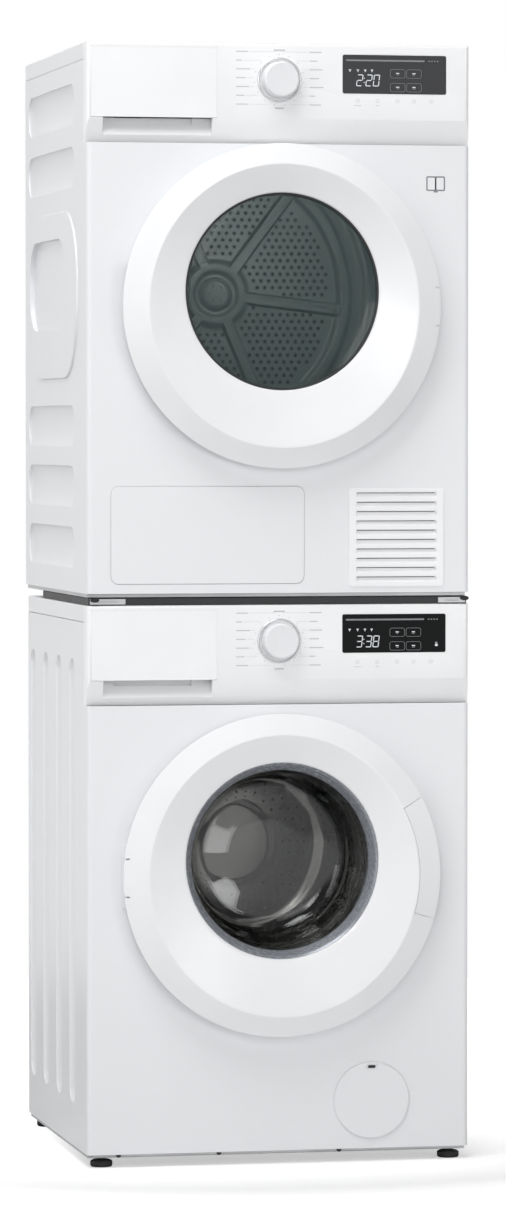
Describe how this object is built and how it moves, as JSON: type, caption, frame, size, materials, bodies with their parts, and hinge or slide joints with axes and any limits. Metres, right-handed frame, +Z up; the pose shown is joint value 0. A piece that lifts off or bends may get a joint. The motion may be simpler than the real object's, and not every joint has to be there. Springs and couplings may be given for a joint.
{
  "type": "stacked washer and dryer",
  "caption": "Front-loading washing machine with a tumble dryer stacked on it, with swinging round doors, a detergent drawer, a water tank and turning drums.",
  "frame": {"origin": "on the floor, in the middle of the stack's width and depth", "axes": "+Z up, the fronts face -Y, +X to the right as seen from the front"},
  "size_m": [0.596, 0.61, 1.71],
  "materials": {
    "white_enamel": "smooth white powder enamel on sheet steel, slight orange peel",
    "white_plastic": "satin white moulded plastic",
    "knob_plastic": "satin white plastic knob with a brushed face",
    "galvanised_sheet": "dull galvanised sheet",
    "grey_plastic": "matt mid-grey plastic",
    "motor_metal": "dark motor casing",
    "pulley_steel": "turned steel",
    "belt_rubber": "black ribbed belt",
    "display_glass": "gloss black display window",
    "dryer_display_glass": "gloss dark grey display window",
    "window_trim": "dark metallic plastic",
    "bowl_glass": "clear pressed glass",
    "smoked_glass": "dark tinted glass",
    "foot_rubber": "black rubber",
    "gasket_rubber": "soft grey door gasket",
    "tub_plastic": "filled grey polypropylene",
    "drum_steel": "perforated stainless steel",
    "paddle_plastic": "grey moulded plastic",
    "cast_aluminium": "plain aluminium",
    "weight_concrete": "cast concrete",
    "frame_plastic": "near-black plastic"
  },
  "bodies": {
    "cabinets": {"washer_side_left": "white_enamel", "washer_side_right": "white_enamel", "washer_front_panel": "white_enamel", "washer_worktop": "white_enamel", "washer_fascia": "white_plastic", "washer_display": "display_glass", "washer_base": "galvanised_sheet", "washer_back_panel": "galvanised_sheet", "washer_foot_1": "foot_rubber", "washer_foot_2": "foot_rubber", "washer_foot_3": "foot_rubber", "washer_foot_4": "foot_rubber", "washer_door_hinge": "galvanised_sheet", "washer_gasket": "gasket_rubber", "washer_tub": "tub_plastic", "washer_motor": "motor_metal", "washer_belt": "belt_rubber", "washer_counterweight": "weight_concrete", "washer_pump": "tub_plastic", "stacking_frame": "frame_plastic", "dryer_side_left": "white_enamel", "dryer_side_right": "white_enamel", "dryer_front_panel": "white_enamel", "dryer_worktop": "white_enamel", "dryer_fascia": "white_plastic", "dryer_display": "dryer_display_glass", "dryer_base": "galvanised_sheet", "dryer_back_panel": "galvanised_sheet", "dryer_door_hinge": "galvanised_sheet", "dryer_front_bulkhead": "drum_steel", "dryer_drum_rear_wall": "drum_steel", "dryer_motor": "motor_metal", "dryer_belt": "belt_rubber", "dryer_heat_exchanger": "cast_aluminium", "dryer_vent_grille": "white_plastic"},
    "washer_door": {"washer_door_ring": "white_plastic", "washer_door_back": "grey_plastic", "washer_door_trim": "window_trim", "washer_door_bowl": "bowl_glass"},
    "washer_door_lever": {"washer_door_handle": "white_plastic"},
    "washer_drawer": {"washer_detergent_drawer": "white_plastic"},
    "washer_dial": {"washer_knob": "knob_plastic"},
    "washer_drum": {"washer_drum_shell": "drum_steel", "washer_drum_back": "drum_steel", "washer_drum_pulley": "cast_aluminium", "washer_paddle_1": "paddle_plastic", "washer_paddle_2": "paddle_plastic", "washer_paddle_3": "paddle_plastic"},
    "washer_motor_shaft": {"washer_motor_pulley": "pulley_steel"},
    "filter_cover": {"washer_filter_cover": "white_enamel"},
    "pump_filter": {"washer_filter_knob": "tub_plastic"},
    "dryer_door": {"dryer_door_ring": "white_plastic", "dryer_door_back": "grey_plastic", "dryer_door_glass": "smoked_glass"},
    "dryer_dial": {"dryer_knob": "knob_plastic"},
    "dryer_tank": {"dryer_water_tank": "white_plastic"},
    "dryer_drum": {"dryer_drum_shell": "drum_steel"},
    "dryer_motor_shaft": {"dryer_motor_pulley": "pulley_steel", "dryer_fan": "tub_plastic"},
    "access_flap": {"dryer_access_flap": "white_enamel"}
  },
  "joints": [
    {"name": "washer_door_swing", "type": "hinge", "parent": "cabinets", "child": "washer_door", "pos_m": [-0.234, -0.283, 0.444], "axis": [0, 0, -1], "range_deg": [0, 130]},
    {"name": "washer_door_lever_pull", "type": "hinge", "parent": "washer_door", "child": "washer_door_lever", "pos_m": [0.20487, -0.303, 0.46553], "axis": [0.1045, 0, -0.9945], "range_deg": [0, 16], "stiffness_Nm_per_rad": 0.6, "springref_deg": -11.46},
    {"name": "detergent_drawer_slide", "type": "slide", "parent": "cabinets", "child": "washer_drawer", "axis": [0, -1, 0], "range_m": [0, 0.2]},
    {"name": "washer_knob_turn", "type": "hinge", "parent": "cabinets", "child": "washer_dial", "pos_m": [0, -0.263, 0.801], "axis": [0, -1, 0], "continuous": true},
    {"name": "washer_drum_turn", "type": "hinge", "parent": "cabinets", "child": "washer_drum", "pos_m": [0, -0.063, 0.466], "axis": [0, 1, 0], "continuous": true},
    {"name": "washer_motor_turn", "type": "hinge", "parent": "cabinets", "child": "washer_motor_shaft", "pos_m": [0, 0.187, 0.136], "axis": [0, 1, 0], "continuous": true},
    {"name": "filter_cover_swing", "type": "hinge", "parent": "cabinets", "child": "filter_cover", "pos_m": [0.145, -0.2663, 0.0345], "axis": [1, 0, 0], "range_deg": [0, 95]},
    {"name": "pump_filter_turn", "type": "hinge", "parent": "cabinets", "child": "pump_filter", "pos_m": [0.145, -0.243, 0.094], "axis": [0, 1, 0], "range_deg": [-180, 0]},
    {"name": "dryer_door_swing", "type": "hinge", "parent": "cabinets", "child": "dryer_door", "pos_m": [0.234, -0.283, 1.311], "axis": [0, 0, 1], "range_deg": [0, 130]},
    {"name": "dryer_knob_turn", "type": "hinge", "parent": "cabinets", "child": "dryer_dial", "pos_m": [0, -0.263, 1.655], "axis": [0, -1, 0], "continuous": true},
    {"name": "water_tank_slide", "type": "slide", "parent": "cabinets", "child": "dryer_tank", "axis": [0, -1, 0], "range_m": [0, 0.4]},
    {"name": "dryer_drum_turn", "type": "hinge", "parent": "cabinets", "child": "dryer_drum", "pos_m": [0, -0.013, 1.342], "axis": [0, 1, 0], "continuous": true},
    {"name": "dryer_motor_turn", "type": "hinge", "parent": "cabinets", "child": "dryer_motor_shaft", "pos_m": [0.215, -0.063, 0.97], "axis": [0, 1, 0], "continuous": true},
    {"name": "access_flap_swing", "type": "hinge", "parent": "cabinets", "child": "access_flap", "pos_m": [-0.111, -0.2638, 0.8885], "axis": [1, 0, 0], "range_deg": [0, 90]}
  ],
  "couplings": [
    {"joint": "washer_motor_turn", "follows": "washer_drum_turn", "ratio": 12.546},
    {"joint": "dryer_motor_turn", "follows": "dryer_drum_turn", "ratio": 26.8}
  ]
}
